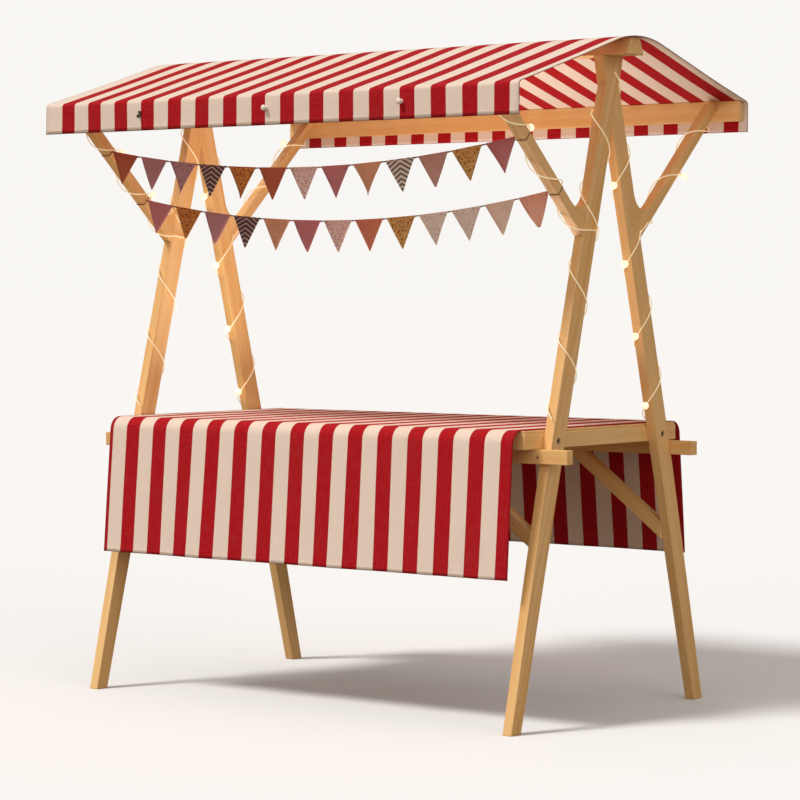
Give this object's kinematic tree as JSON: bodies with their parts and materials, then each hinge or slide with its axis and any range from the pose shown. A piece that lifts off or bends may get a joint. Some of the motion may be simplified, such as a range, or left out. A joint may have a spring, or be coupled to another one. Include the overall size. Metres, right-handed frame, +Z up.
{
  "type": "wooden market stall",
  "caption": "Free-standing wooden market stall: crossed-leg side frames, braced striped canopy, table with striped cloth, bunting and light wires.",
  "frame": {"origin": "on the floor, at the middle of the stall's length and depth", "axes": "+X along the stall to the right seen from the customer's side, -Y towards the customer, +Z up"},
  "size_m": [1.98, 1.3654, 2.189],
  "materials": {
    "pine": "clear satin lacquer",
    "canopy_stripe": "woven awning cloth, red and cream stripes",
    "tablecloth_stripe": "woven cotton, red and cream stripes",
    "knob": "satin",
    "bunting_cord": "twisted cotton",
    "flag_cotton": "printed cotton",
    "light_wire": "matte",
    "lamp_globe": "frosted"
  },
  "bodies": {
    "root": {"front_left_leg": "pine", "rear_left_leg": "pine", "front_right_leg": "pine", "rear_right_leg": "pine", "ridge_beam": "pine", "front_eave_rail": "pine", "rear_eave_rail": "pine", "front_left_canopy_brace": "pine", "rear_left_canopy_brace": "pine", "front_right_canopy_brace": "pine", "rear_right_canopy_brace": "pine", "front_table_beam": "pine", "rear_table_beam": "pine", "left_end_apron": "pine", "right_end_apron": "pine", "front_apron": "pine", "rear_apron": "pine", "table_board": "pine", "front_left_knee_brace": "pine", "rear_left_knee_brace": "pine", "front_right_knee_brace": "pine", "rear_right_knee_brace": "pine", "front_roof_cloth": "canopy_stripe", "rear_roof_cloth": "canopy_stripe", "front_valance": "canopy_stripe", "rear_valance": "canopy_stripe", "valance_knobs": "knob", "tablecloth_top": "tablecloth_stripe", "tablecloth_front_drop": "tablecloth_stripe", "tablecloth_rear_drop": "tablecloth_stripe", "upper_bunting_line": "bunting_cord", "lower_bunting_line": "bunting_cord", "upper_bunting_flags": "flag_cotton", "lower_bunting_flags": "flag_cotton", "front_left_light_wire": "light_wire", "rear_left_light_wire": "light_wire", "front_right_light_wire": "light_wire", "rear_right_light_wire": "light_wire", "left_head_light_wire": "light_wire", "right_head_light_wire": "light_wire", "left_globe_lamps": "lamp_globe", "right_globe_lamps": "lamp_globe"}
  },
  "joints": []
}
